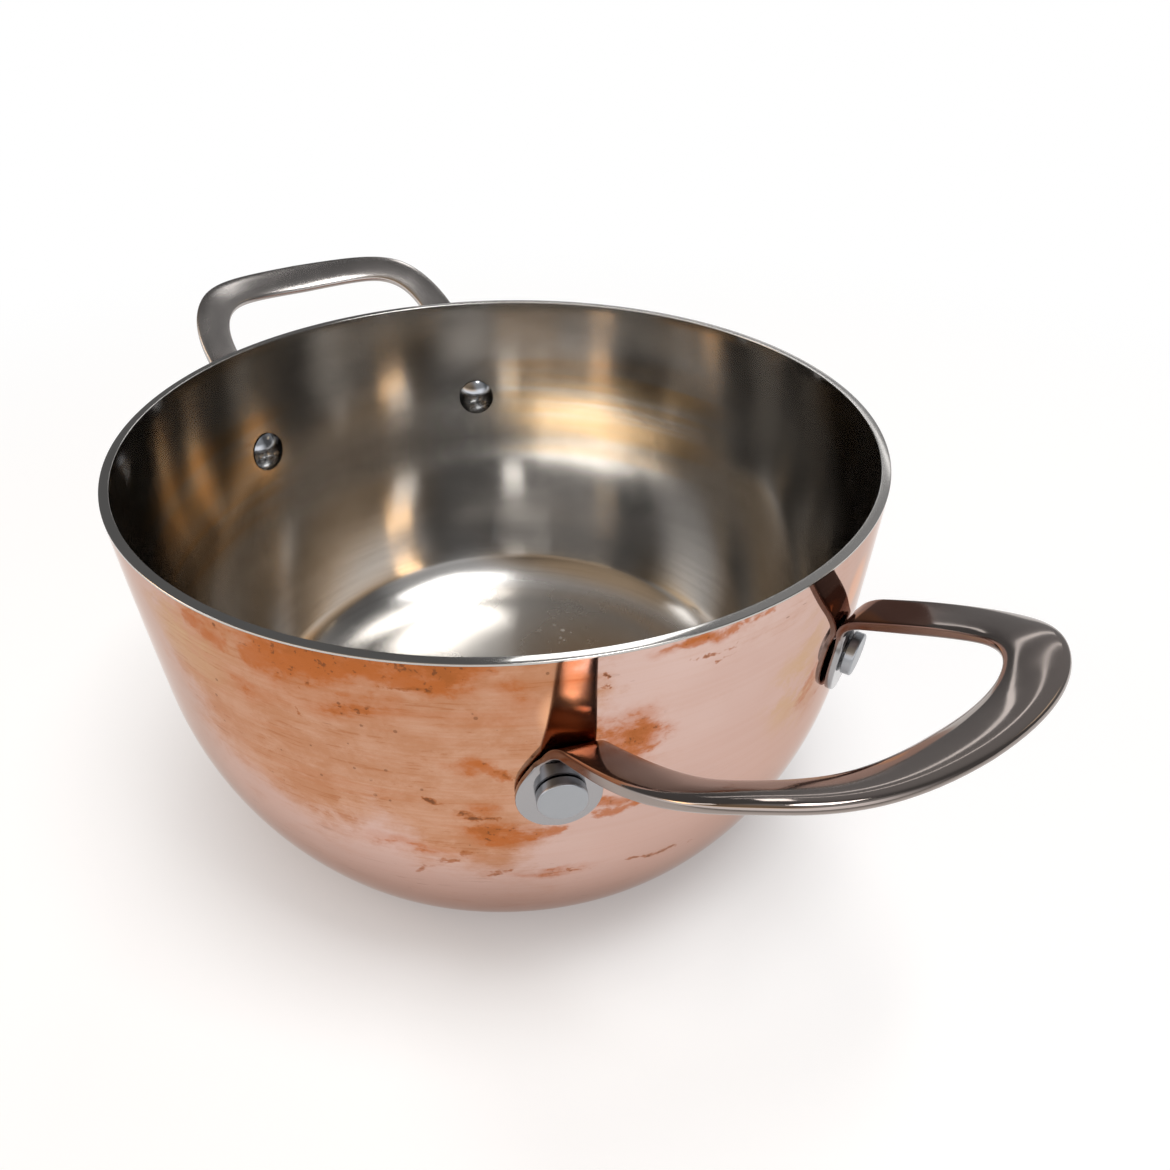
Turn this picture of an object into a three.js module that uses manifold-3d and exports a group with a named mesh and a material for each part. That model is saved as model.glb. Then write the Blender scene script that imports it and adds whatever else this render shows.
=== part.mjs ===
// A deep rounded cooking pot with two riveted loop handles.
// The wall is clad: polished copper outside, an aluminium core and a steel lining whose
// rim closes the edge. Units are millimetres, +Z is up and the floor is z = 0.
import * as THREE from 'three';
import { mergeVertices } from 'three/addons/utils/BufferGeometryUtils.js';
import Module from 'manifold-3d';

const wasm = await Module();
wasm.setup();
const RAD = Math.PI / 180;

// Pot wall, outer face, from the rim down: a nearly straight side, a rounded bowl, a base corner.
const RIM_R = 100;
const DEPTH = 108;
const TILT_RIM = 0.5 * RAD;
const TILT_SIDE = 2.03 * RAD;
const TILT_BOWL = 29 * RAD;
const BOWL_R = 102.6;
const CORNER_R = 23.5;
const BOWL_H = BOWL_R * (Math.sin(TILT_BOWL) - Math.sin(TILT_SIDE));
const CORNER_H = CORNER_R * (1 - Math.sin(TILT_BOWL));
const SIDE_R = (DEPTH - BOWL_H - CORNER_H) / (Math.sin(TILT_SIDE) - Math.sin(TILT_RIM));
const AROUND = 56;

// Clad layers, from the outside in.
const COPPER_T = 0.6;
const CORE_T = 1.2;
const STEEL_T = 0.5;
const BOND = 0.03;
const RIM_BAND = 0.5;
const RIM_CHAMFER = 0.2;
const WALL_T = COPPER_T + CORE_T + STEEL_T + 2 * BOND;

// Rivets, two to a handle.
const RIVET_DROP = 33.8;
const RIVET_ANGLE = 24.3 * RAD;
const SHANK_R = 3;
const CLEAR = 0.3;
const HEAD_R = 5.4;
const HEAD_H = 2.5;
const HEAD_EDGE = 0.35;
const DOME_R = 6.2;
const DOME_H = 2.5;
const DOME_CLEAR = 0.45;

// Handle: teardrop foot plates, a bend, and a band that rises and closes in a loop.
const PLATE_T = 1.8;
const FOOT_BELOW = 10.7;
const FOOT_ABOVE = 13;
const FOOT_R = 9.2;
const FOOT_LEAN = 0.2;
const ROOT_W = 10.6;
const ROOT_T = 2.4;
const BAR_W = 12.4;
const BAR_T = 3.4;
const ROOT_ROLL = 0.16;
const BAR_ROLL = 0.48;
// Places that steer the band from its root to the middle of the bar: outward, across and up.
const STEER_OUT = [0, 29.7, 40.6, 39.7, 52.8, 52.8];
const STEER_ACROSS = [38.6, 42.8, 42.8, 29.4, 36.8, 0];
const STEER_UP = [0, 15.2, 18.3, 25.1, 21.9, 21.9];
const BEND_FROM = 5;
const BEND_TO = 0.035;
const RING = 16;

const copper = new THREE.MeshStandardMaterial({ color: 0xd9967a, metalness: 1, roughness: 0.22 });
const aluminium = new THREE.MeshStandardMaterial({ color: 0xc9cbcd, metalness: 1, roughness: 0.45 });
const lining = new THREE.MeshStandardMaterial({ color: 0xb4b0aa, metalness: 1, roughness: 0.3 });
const polished = new THREE.MeshStandardMaterial({ color: 0xa9a7a4, metalness: 1, roughness: 0.16 });
const rivetSteel = new THREE.MeshStandardMaterial({ color: 0xb9bcc0, metalness: 1, roughness: 0.35 });

// One closed body with merged corners and its faces turned outward.
function solid(geometry) {
  let g = geometry.clone();
  g.deleteAttribute('normal');
  g.deleteAttribute('uv');
  g = mergeVertices(g, 1e-4);
  const p = g.attributes.position;
  const kept = [];
  let volume = 0;
  const a = new THREE.Vector3();
  const b = new THREE.Vector3();
  const c = new THREE.Vector3();
  for (let i = 0; i < g.index.count; i += 3) {
    const t = [g.index.getX(i), g.index.getX(i + 1), g.index.getX(i + 2)];
    if (t[0] === t[1] || t[1] === t[2] || t[2] === t[0]) continue;
    a.fromBufferAttribute(p, t[0]);
    b.fromBufferAttribute(p, t[1]);
    c.fromBufferAttribute(p, t[2]);
    volume += a.dot(b.cross(c));
    kept.push(t);
  }
  const order = volume > 0 ? [0, 1, 2] : [0, 2, 1];
  g.setIndex(kept.flatMap((t) => order.map((k) => t[k])));
  return g;
}

function toManifold(geometry) {
  const g = solid(geometry);
  const vertProperties = Float32Array.from(g.attributes.position.array);
  const triVerts = Uint32Array.from(g.index.array);
  return new wasm.Manifold(new wasm.Mesh({ numProp: 3, vertProperties, triVerts }));
}

function fromManifold(body) {
  const m = body.getMesh();
  const g = new THREE.BufferGeometry();
  const xyz = new Float32Array((m.vertProperties.length / m.numProp) * 3);
  for (let i = 0; i < xyz.length / 3; i += 1) {
    for (let k = 0; k < 3; k += 1) xyz[3 * i + k] = m.vertProperties[m.numProp * i + k];
  }
  g.setAttribute('position', new THREE.BufferAttribute(xyz, 3));
  g.setIndex(Array.from(m.triVerts));
  return g;
}

// The wall line at a depth into the wall: from its top edge down to the flat of the base.
function wallLine(inset, top) {
  const edge = RIM_R - (DEPTH - top) * Math.tan(TILT_RIM) - inset / Math.cos(TILT_RIM);
  const line = [new THREE.Vector2(edge, top)];
  const arcs = [
    { to: TILT_SIDE, radius: SIDE_R, steps: 2 },
    { to: TILT_BOWL, radius: BOWL_R, steps: 4 },
    { to: Math.PI / 2, radius: CORNER_R, steps: 4 },
  ];
  let r = RIM_R;
  let z = DEPTH;
  let tilt = TILT_RIM;
  for (const arc of arcs) {
    for (let i = 1; i <= arc.steps; i += 1) {
      const a = tilt + ((arc.to - tilt) * i) / arc.steps;
      const x = r + arc.radius * (Math.cos(a) - Math.cos(tilt));
      const y = z - arc.radius * (Math.sin(a) - Math.sin(tilt));
      line.push(new THREE.Vector2(x - inset * Math.cos(a), y + inset * Math.sin(a)));
    }
    r += arc.radius * (Math.cos(arc.to) - Math.cos(tilt));
    z -= arc.radius * (Math.sin(arc.to) - Math.sin(tilt));
    tilt = arc.to;
  }
  return line;
}

// One layer of the wall, turned about the upright axis: up its outer line, over the edge, down inside.
function layer(out, edge, inn) {
  const first = new THREE.Vector2(0, out[out.length - 1].y);
  const last = new THREE.Vector2(0, inn[inn.length - 1].y);
  const shape = [first, ...out.reverse(), ...edge, ...inn, last];
  return new THREE.LatheGeometry(shape, AROUND).rotateX(Math.PI / 2);
}

// A place on the outer face of the wall where a rivet goes through, with its directions.
function rivetPlace(angle) {
  const tilt = Math.asin(Math.sin(TILT_RIM) + RIVET_DROP / SIDE_R);
  const r = RIM_R + SIDE_R * (Math.cos(tilt) - Math.cos(TILT_RIM));
  const radial = new THREE.Vector3(Math.cos(angle), Math.sin(angle), 0);
  const zAxis = new THREE.Vector3(0, 0, 1);
  const point = radial.clone().multiplyScalar(r).addScaledVector(zAxis, DEPTH - RIVET_DROP);
  const normal = radial.clone().multiplyScalar(Math.cos(tilt)).addScaledVector(zAxis, -Math.sin(tilt));
  const upward = radial.clone().multiplyScalar(Math.sin(tilt)).addScaledVector(zAxis, Math.cos(tilt));
  const side = new THREE.Vector3(-Math.sin(angle), Math.cos(angle), 0);
  return { point, normal, upward, side };
}

// Turns a body made along +Y so that it lies along the rivet's axis.
function alongRivet(geometry, place) {
  const turn = new THREE.Quaternion().setFromUnitVectors(new THREE.Vector3(0, 1, 0), place.normal);
  const m = new THREE.Matrix4().compose(place.point, turn, new THREE.Vector3(1, 1, 1));
  return geometry.clone().applyMatrix4(m);
}

const angles = [RIVET_ANGLE, -RIVET_ANGLE, Math.PI + RIVET_ANGLE, Math.PI - RIVET_ANGLE];
const places = angles.map(rivetPlace);
const hole = new THREE.CylinderGeometry(SHANK_R + CLEAR, SHANK_R + CLEAR, 24, 16);

function drilled(geometry, at) {
  let body = toManifold(geometry);
  for (const place of at) body = body.subtract(toManifold(alongRivet(hole, place)));
  return fromManifold(body);
}

// The lining turns outward over the core and the copper, so the rim is one band of steel.
const rimTop = DEPTH;
const underRim = DEPTH - RIM_BAND;
const outerAtRim = wallLine(0, rimTop)[0].x;
const innerAtRim = wallLine(WALL_T, rimTop)[0].x;
const linerEdge = [
  new THREE.Vector2(outerAtRim - RIM_BAND * Math.tan(TILT_RIM), underRim + BOND),
  new THREE.Vector2(outerAtRim, rimTop - RIM_CHAMFER),
  new THREE.Vector2(outerAtRim - RIM_CHAMFER, rimTop),
  new THREE.Vector2(innerAtRim + RIM_CHAMFER, rimTop),
];
const linerOuter = wallLine(COPPER_T + CORE_T + 2 * BOND, underRim + BOND);
const linerInner = wallLine(WALL_T, rimTop - RIM_CHAMFER);

// Half of a handle: stations from the tip of one foot, up the wall and out to the middle of the bar.
function halfHandle() {
  const { point, normal, upward, side } = rivetPlace(RIVET_ANGLE);
  const climb = upward.clone().addScaledVector(side, -FOOT_LEAN).normalize();
  const start = point.clone().addScaledVector(normal, CLEAR + PLATE_T / 2);
  const foot = (d) => start.clone().addScaledVector(climb, d - FOOT_BELOW);
  const root = foot(FOOT_BELOW + FOOT_ABOVE);
  const blend = (steer, t) => {
    const times = [1, 5, 10, 10, 5, 1];
    return steer.reduce((sum, v, i) => sum + times[i] * v * (1 - t) ** (5 - i) * t ** i, 0);
  };
  const shift = root.y - STEER_ACROSS[0];
  const loop = (t) => {
    const across = blend(STEER_ACROSS, t) + shift * (1 - t) ** 5;
    return new THREE.Vector3(root.x + blend(STEER_OUT, t), across, root.z + blend(STEER_UP, t));
  };
  const bend = (q) => {
    const a = foot(FOOT_BELOW + FOOT_ABOVE - BEND_FROM);
    const c = loop(BEND_TO);
    const ab = a.lerp(root, q);
    return ab.lerp(root.clone().lerp(c, q), q);
  };
  const stations = [];
  for (const d of [0.3, 1.3, 3.2, 5.8, 9.2, 12, 14.5, 16.8]) {
    const round = Math.sqrt(Math.max(0, FOOT_R ** 2 - (FOOT_R - d) ** 2));
    const taper = (1 - Math.cos((Math.PI * (d - FOOT_R)) / (FOOT_BELOW + FOOT_ABOVE - FOOT_R))) / 2;
    const w = d < FOOT_R ? 2 * round : 2 * FOOT_R + (ROOT_W - 2 * FOOT_R) * taper;
    stations.push({ c: foot(d), w, h: PLATE_T, ref: 0, roll: 0, square: 0.3 });
  }
  for (const q of [0.12, 0.37, 0.63, 0.88]) {
    const w = ROOT_W + 0.9 * (1 - q) ** 2;
    const h = PLATE_T + (ROOT_T - PLATE_T) * q;
    stations.push({ c: bend(q), w, h, ref: q, roll: ROOT_ROLL * q, square: 0.3 + 0.2 * q });
  }
  for (let i = 0; i <= 14; i += 1) {
    const t = BEND_TO + ((1 - BEND_TO) * i) / 14;
    const full = Math.sin((Math.PI / 2) * Math.min(1, t / 0.6));
    const turned = THREE.MathUtils.smoothstep(t, 0.15, 0.65);
    const w = ROOT_W + (BAR_W - ROOT_W) * t ** 4;
    const h = ROOT_T + (BAR_T - ROOT_T) * full;
    const roll = ROOT_ROLL + (BAR_ROLL - ROOT_ROLL) * turned;
    stations.push({ c: loop(t), w, h, ref: 1, roll, square: 0.5 + 0.25 * full });
  }
  const above = new THREE.Vector3(0, 0, 1);
  const last = stations.length - 1;
  stations.forEach((s, i) => {
    const before = stations[Math.max(0, i - 1)].c;
    const after = stations[Math.min(last, i + 1)].c;
    const along = after.clone().sub(before).normalize();
    if (i === last) along.set(0, -1, 0);
    const across = above.clone().cross(along).normalize();
    s.side = side.clone().lerp(across, s.ref);
    s.side.addScaledVector(along, -s.side.dot(along)).normalize();
    s.top = along.clone().cross(s.side).normalize();
    const flat = s.side.clone();
    s.side.multiplyScalar(Math.cos(s.roll)).addScaledVector(s.top, Math.sin(s.roll));
    s.top.multiplyScalar(Math.cos(s.roll)).addScaledVector(flat, -Math.sin(s.roll));
  });
  return stations;
}

// The rounded section of the band at one station.
function ringAt(s, flip) {
  const ring = [];
  for (let j = 0; j < RING; j += 1) {
    const a = (2 * Math.PI * (j + 0.5)) / RING;
    const x = 0.5 * s.w * Math.sign(Math.cos(a)) * Math.abs(Math.cos(a)) ** s.square;
    const y = 0.5 * s.h * Math.sign(Math.sin(a)) * Math.abs(Math.sin(a)) ** s.square;
    const p = s.c.clone().addScaledVector(s.side, x).addScaledVector(s.top, y);
    ring.push(p.x, flip * p.y, p.z);
  }
  return ring;
}

function handle() {
  const half = halfHandle();
  const rings = half.map((s) => ringAt(s, 1));
  const other = half.map((s) => ringAt(s, -1)).reverse().slice(1);
  const all = [...rings, ...other];
  const position = all.flat();
  const index = [];
  for (let i = 0; i + 1 < all.length; i += 1) {
    for (let j = 0; j < RING; j += 1) {
      const a = i * RING + j;
      const b = i * RING + ((j + 1) % RING);
      index.push(a, b, a + RING, b, b + RING, a + RING);
    }
  }
  const end = (all.length - 1) * RING;
  for (let j = 1; j + 1 < RING; j += 1) {
    index.push(0, j + 1, j);
    index.push(end, end + j, end + j + 1);
  }
  const g = new THREE.BufferGeometry();
  g.setAttribute('position', new THREE.Float32BufferAttribute(position, 3));
  g.setIndex(index);
  return g;
}

// A rivet about its own axis: a dome inside, a shank through the wall, a flat head outside.
function rivet() {
  const under = CLEAR + PLATE_T + CLEAR;
  const seat = -WALL_T - DOME_CLEAR;
  const line = [];
  const ball = (DOME_R * DOME_R + DOME_H * DOME_H) / (2 * DOME_H);
  const spread = Math.asin(DOME_R / ball);
  for (let i = 0; i <= 4; i += 1) {
    const a = (spread * i) / 4;
    const r = ball * Math.sin(a);
    line.push(new THREE.Vector2(r, seat - DOME_H + ball * (1 - Math.cos(a))));
  }
  line.push(new THREE.Vector2(SHANK_R, seat));
  line.push(new THREE.Vector2(SHANK_R, under));
  line.push(new THREE.Vector2(HEAD_R, under));
  line.push(new THREE.Vector2(HEAD_R, under + HEAD_H - HEAD_EDGE));
  line.push(new THREE.Vector2(HEAD_R - HEAD_EDGE, under + HEAD_H));
  line.push(new THREE.Vector2(0, under + HEAD_H));
  return new THREE.LatheGeometry(line, 18);
}

const part = new THREE.Group();
part.name = 'two_handled_clad_pot';

function add(name, geometry, material) {
  const mesh = new THREE.Mesh(solid(geometry), material);
  mesh.geometry.computeVertexNormals();
  mesh.name = name;
  part.add(mesh);
}

const coreOuter = wallLine(COPPER_T + BOND, underRim);
const coreInner = wallLine(COPPER_T + BOND + CORE_T, underRim);
const shell = layer(wallLine(0, underRim), [], wallLine(COPPER_T, underRim));
add('copper_shell', drilled(shell, places), copper);
add('aluminium_core', drilled(layer(coreOuter, [], coreInner), places), aluminium);
add('steel_liner', drilled(layer(linerOuter, linerEdge, linerInner), places), lining);

const front = drilled(handle(), places.slice(0, 2));
add('front_handle', front, polished);
add('rear_handle', front.clone().rotateZ(Math.PI), polished);

const names = ['front_rivet_left', 'front_rivet_right', 'rear_rivet_left', 'rear_rivet_right'];
places.forEach((place, i) => add(names[i], alongRivet(rivet(), place), rivetSteel));

export default part;
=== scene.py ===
"""Looks of a deep clad cooking pot: polished copper outside, brushed steel inside,
two riveted loop handles in polished steel. Metres, +Z up, floor at z = 0."""
from math import asin, cos, pi, radians, sin, sqrt, tan

import bmesh
import bpy
from mathutils import Matrix, Vector


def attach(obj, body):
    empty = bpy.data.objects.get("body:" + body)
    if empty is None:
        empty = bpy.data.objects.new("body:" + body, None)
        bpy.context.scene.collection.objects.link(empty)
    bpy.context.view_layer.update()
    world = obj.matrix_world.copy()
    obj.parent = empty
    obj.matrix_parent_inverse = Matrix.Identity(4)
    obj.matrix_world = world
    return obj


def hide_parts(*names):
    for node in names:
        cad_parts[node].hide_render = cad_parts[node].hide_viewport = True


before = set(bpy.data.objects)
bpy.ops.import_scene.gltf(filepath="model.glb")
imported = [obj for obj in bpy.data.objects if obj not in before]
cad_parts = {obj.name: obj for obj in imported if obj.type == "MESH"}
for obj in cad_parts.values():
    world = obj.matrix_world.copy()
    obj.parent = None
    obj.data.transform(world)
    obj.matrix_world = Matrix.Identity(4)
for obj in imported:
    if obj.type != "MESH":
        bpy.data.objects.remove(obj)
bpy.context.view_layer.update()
MM = 0.001
TINY = 1e-6
UP = Vector((0, 0, 1))

# Pot wall, outer face, in millimetres, as in the part's source.
RIM_R = 100
DEPTH = 108
TILT_RIM = radians(0.5)
TILT_SIDE = radians(2.03)
TILT_BOWL = radians(29)
BOWL_R = 102.6
CORNER_R = 23.5
BOWL_H = BOWL_R * (sin(TILT_BOWL) - sin(TILT_SIDE))
CORNER_H = CORNER_R * (1 - sin(TILT_BOWL))
SIDE_R = (DEPTH - BOWL_H - CORNER_H) / (sin(TILT_SIDE) - sin(TILT_RIM))
COPPER_T = 0.6
CORE_T = 1.2
STEEL_T = 0.5
BOND = 0.03
RIM_BAND = 0.5
RIM_ROUND = 0.22
WALL_T = COPPER_T + CORE_T + STEEL_T + 2 * BOND

# Rivets, in millimetres.
RIVET_DROP = 33.8
RIVET_ANGLE = radians(24.3)
SHANK_R = 3
CLEAR = 0.3
HEAD_R = 5.4
HEAD_H = 2.5
HEAD_ROUND = 0.45
HEAD_CHAMFER = 0.2
DOME_R = 6.2
DOME_H = 2.5
DOME_CLEAR = 0.45
DRILL_REACH = 12

# Handles, in millimetres. STEER rows guide the loop from its root to its middle.
PLATE_T = 1.8
PLATE_ROUND = 0.42
FOOT_BELOW = 10.7
FOOT_ABOVE = 13
FOOT_R = 9.2
FOOT_LEAN = 0.2
ROOT_W = 10.6
ROOT_T = 2.4
ROOT_FLARE = 0.9
ROOT_ROLL = 0.16
ROOT_SWELL = 0.25
BAR_W = 12.4
BAR_T = 3.4
BAR_ROLL = 0.48
CROWN_POWER = 0.75
STEER_OUT = (0, 29.7, 40.6, 39.7, 52.8, 52.8)
STEER_ACROSS = (38.6, 42.8, 42.8, 29.4, 36.8, 0)
STEER_UP = (0, 15.2, 18.3, 25.1, 21.9, 21.9)
QUINTIC = (1, 5, 10, 10, 5, 1)
BEND_FROM = 5
BEND_TO = 0.035
# Shares of the loop over which the bar rolls, swells and reaches its full thickness.
ROLL_SPAN = (0.15, 0.65)
SWELL_SPAN = (0.08, 0.42)
FULL_AT = 0.6

# How finely the meshes are cut, and the angles from which their edges are sharp.
AROUND = 224
ARC_STEPS = (14, 18, 16)
BASE_RINGS = (0.8, 0.55, 0.3, 0.12)
EDGE_CLEAR = 0.6
STEP_IN = 0.05
DRILL_TURNS = 32
RIVET_TURNS = 56
DOME_STEPS = 14
HEAD_STEPS = 6
HEAD_RING = 0.55
FOOT_TURNS = (9, 13, 18, 24, 30, 37, 45, 54, 63, 72, 81, 90)
NECK_STEPS = (10.6, 12, 13.4, 14.8, 16.2, 17.5)
BEND_STEPS = 14
LOOP_STEPS = 56
QUARTER = 13
EDGE_STEPS = 12
CROWN_STEPS = 60
LENGTH_WEIGHT = 0.16
CREASE = radians(32)
FINE_CREASE = radians(40)


def mesh_object(name, verts, faces, crease=CREASE):
    """One smooth-shaded object from millimetre corners, with its normals outward."""
    mesh = bpy.data.meshes.new(name)
    mesh.from_pydata([Vector(v) * MM for v in verts], [], faces)
    bm = bmesh.new()
    bm.from_mesh(mesh)
    bmesh.ops.recalc_face_normals(bm, faces=bm.faces)
    if bm.calc_volume(signed=True) < 0:
        bmesh.ops.reverse_faces(bm, faces=bm.faces)
    bm.to_mesh(mesh)
    bm.free()
    obj = bpy.data.objects.new(name, mesh)
    bpy.context.scene.collection.objects.link(obj)
    smooth(obj, crease)
    return obj


def smooth(obj, crease):
    obj.data.polygons.foreach_set("use_smooth", [True] * len(obj.data.polygons))
    obj.data.set_sharp_from_angle(angle=crease)


def lathe(name, line, turns, place=None, crease=CREASE):
    """A closed body turned about Z from a line that starts and ends on the axis."""
    verts, rows = [], []
    for r, z in line:
        if r < TINY:
            rows.append([len(verts)])
            verts.append((0, 0, z))
            continue
        rows.append([len(verts) + k for k in range(turns)])
        for k in range(turns):
            a = 2 * pi * k / turns
            verts.append((r * cos(a), r * sin(a), z))
    faces = []
    for lower, upper in zip(rows, rows[1:]):
        for k in range(turns):
            n = (k + 1) % turns
            ring = [lower[k % len(lower)], lower[n % len(lower)],
                    upper[n % len(upper)], upper[k % len(upper)]]
            ring = [v for i, v in enumerate(ring) if v not in ring[:i]]
            if len(ring) > 2:
                faces.append(ring)
    if place is not None:
        verts = [place @ Vector(v) for v in verts]
    return mesh_object(name, verts, faces, crease)


def wall_line(inset, top):
    """The wall at a depth into its thickness: from the top edge down to the flat of the base."""
    line = []
    r, z, tilt = RIM_R, DEPTH, TILT_RIM
    arcs = zip((TILT_SIDE, TILT_BOWL, pi / 2), (SIDE_R, BOWL_R, CORNER_R), ARC_STEPS)
    for to, radius, steps in arcs:
        for i in range(steps + 1):
            a = tilt + (to - tilt) * i / steps
            x = r + radius * (cos(a) - cos(tilt))
            y = z - radius * (sin(a) - sin(tilt))
            line.append((x - inset * cos(a), y + inset * sin(a)))
        r += radius * (cos(to) - cos(tilt))
        z -= radius * (sin(to) - sin(tilt))
        tilt = to
    kept = [(RIM_R - (DEPTH - top) * tan(TILT_RIM) - inset / cos(TILT_RIM), top)]
    for across, height in line:
        lower = height < kept[-1][1] - TINY
        further_in = across < kept[-1][0] - STEP_IN
        if (lower or further_in) and height < top - EDGE_CLEAR:
            kept.append((across, height))
    last_r, last_z = kept[-1]
    kept += [(last_r * share, last_z) for share in BASE_RINGS]
    return kept


def layer(name, outer, edge, inner):
    """One layer of the wall, turned from its outer face, its top edge and its inner face."""
    line = [(0, outer[-1][1])] + outer[::-1] + edge + inner + [(0, inner[-1][1])]
    return lathe(name, line, AROUND)


def corner_arc(cr, cz, radius, start, end, steps=4):
    """A rounded corner in the turned section."""
    angles = [start + (end - start) * i / steps for i in range(steps + 1)]
    return [(cr + radius * cos(a), cz + radius * sin(a)) for a in angles]


def rivet_place(angle):
    """A rivet's point on the outer face, and the face's normal, upward and sideways directions."""
    tilt = asin(sin(TILT_RIM) + RIVET_DROP / SIDE_R)
    r = RIM_R + SIDE_R * (cos(tilt) - cos(TILT_RIM))
    radial = Vector((cos(angle), sin(angle), 0))
    point = radial * r + UP * (DEPTH - RIVET_DROP)
    normal = radial * cos(tilt) - UP * sin(tilt)
    upward = radial * sin(tilt) + UP * cos(tilt)
    side = Vector((-sin(angle), cos(angle), 0))
    return point, normal, upward, side


def rivet_frame(angle):
    """Turns a body made along +Z so that it lies along the rivet's axis."""
    point, normal, upward, side = rivet_place(angle)
    turn = Matrix((side, upward, normal)).transposed().to_4x4()
    return Matrix.Translation(point) @ turn


RIVET_ANGLES = {
    "front_rivet_left": RIVET_ANGLE,
    "front_rivet_right": -RIVET_ANGLE,
    "rear_rivet_left": pi + RIVET_ANGLE,
    "rear_rivet_right": pi - RIVET_ANGLE,
}


def drill(obj, angles, crease=CREASE):
    """Rivet holes through a piece."""
    r = SHANK_R + CLEAR
    line = [(0, -DRILL_REACH), (r, -DRILL_REACH), (r, DRILL_REACH), (0, DRILL_REACH)]
    for angle in angles:
        tool = lathe("drill", line, DRILL_TURNS, rivet_frame(angle))
        cut = obj.modifiers.new("hole", "BOOLEAN")
        cut.operation = "DIFFERENCE"
        cut.solver = "EXACT"
        cut.object = tool
        bpy.context.view_layer.objects.active = obj
        bpy.ops.object.modifier_apply(modifier=cut.name)
        bpy.data.objects.remove(tool)
    smooth(obj, crease)


def spread(curve, count):
    """Evens out a quarter section: closer points where it turns."""
    marks = [0.0]
    for i in range(1, len(curve)):
        a, b = Vector(curve[i - 1]), Vector(curve[i])
        turn = 0.0
        if i + 1 < len(curve):
            turn = (b - a).angle(Vector(curve[i + 1]) - b, 0.0)
        marks.append(marks[-1] + (b - a).length * LENGTH_WEIGHT + turn)
    out, j = [], 0
    for k in range(count):
        m = marks[-1] * k / (count - 1)
        while j + 2 < len(marks) and marks[j + 1] < m:
            j += 1
        t = (m - marks[j]) / max(TINY, marks[j + 1] - marks[j])
        out.append(Vector(curve[j]).lerp(Vector(curve[j + 1]), min(1, max(0, t))))
    return out


def section(w, h, swell):
    """The band's section: a flat strip with small rounded edges, swelling into a crowned bar."""
    a, b = w / 2, h / 2
    r = min(PLATE_ROUND, 0.9 * a, 0.9 * b)
    flat = [(a, 0), (a, (b - r) / 2)]
    for q in range(EDGE_STEPS + 1):
        t = q * pi / (2 * EDGE_STEPS)
        flat.append((a - r + r * cos(t), b - r + r * sin(t)))
    flat += [((a - r) * share, b) for share in (0.75, 0.5, 0.25, 0)]
    crown = []
    for q in range(CROWN_STEPS + 1):
        t = q * pi / (2 * CROWN_STEPS)
        crown.append((a * max(0, cos(t)) ** CROWN_POWER, b * max(0, sin(t)) ** CROWN_POWER))
    first, second = spread(flat, QUARTER), spread(crown, QUARTER)
    quarter = [p.lerp(s, swell) for p, s in zip(first, second)]
    ring = [(p.x, p.y) for p in quarter]
    ring += [(-p.x, p.y) for p in quarter[-2::-1]]
    ring += [(-p.x, -p.y) for p in quarter[1:]]
    ring += [(p.x, -p.y) for p in quarter[-2:0:-1]]
    return ring


def smoothstep(x, low, high):
    t = min(1, max(0, (x - low) / (high - low)))
    return t * t * (3 - 2 * t)


def handle_stations(point, normal, climb):
    """Sections from the tip of one foot, up the wall and out to the middle of the bar.

    Each has a centre, a width, a thickness, a share by which it has left the wall, a roll and a swell.
    """
    start = point + normal * (CLEAR + PLATE_T / 2)
    foot_length = FOOT_BELOW + FOOT_ABOVE

    def foot(d):
        return start + climb * (d - FOOT_BELOW)

    root = foot(foot_length)

    def blend(steer, t):
        terms = enumerate(zip(QUINTIC, steer))
        return sum(n * v * (1 - t) ** (5 - i) * t ** i for i, (n, v) in terms)

    def loop(t):
        across = blend(STEER_ACROSS, t) + (root.y - STEER_ACROSS[0]) * (1 - t) ** 5
        return Vector((root.x + blend(STEER_OUT, t), across, root.z + blend(STEER_UP, t)))

    bend_start, bend_end = foot(foot_length - BEND_FROM), loop(BEND_TO)

    def bend(q):
        return bend_start.lerp(root, q).lerp(root.lerp(bend_end, q), q)

    stations = []
    tip_steps = [FOOT_R * (1 - cos(radians(a))) for a in FOOT_TURNS]
    for d in (*tip_steps, *NECK_STEPS):
        if d < FOOT_R:
            w = 2 * sqrt(FOOT_R ** 2 - (FOOT_R - d) ** 2)
        else:
            taper = (1 - cos(pi * (d - FOOT_R) / (foot_length - FOOT_R))) / 2
            w = 2 * FOOT_R + (ROOT_W - 2 * FOOT_R) * taper
        edge = max(0, PLATE_ROUND - d)
        h = PLATE_T - 2 * (PLATE_ROUND - sqrt(PLATE_ROUND ** 2 - edge ** 2))
        stations.append((foot(d), w, h, 0, 0, 0))
    for i in range(1, BEND_STEPS):
        q = i / BEND_STEPS
        w = ROOT_W + ROOT_FLARE * (1 - q) ** 2
        h = PLATE_T + (ROOT_T - PLATE_T) * q
        stations.append((bend(q), w, h, q, ROOT_ROLL * q, ROOT_SWELL * q * q))
    for i in range(LOOP_STEPS + 1):
        t = BEND_TO + (1 - BEND_TO) * i / LOOP_STEPS
        w = ROOT_W + (BAR_W - ROOT_W) * t ** 4
        h = ROOT_T + (BAR_T - ROOT_T) * sin(pi / 2 * min(1, t / FULL_AT))
        roll = ROOT_ROLL + (BAR_ROLL - ROOT_ROLL) * smoothstep(t, *ROLL_SPAN)
        swell = ROOT_SWELL + (1 - ROOT_SWELL) * smoothstep(t, *SWELL_SPAN)
        stations.append((loop(t), w, h, 1, roll, swell))
    return stations


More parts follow.
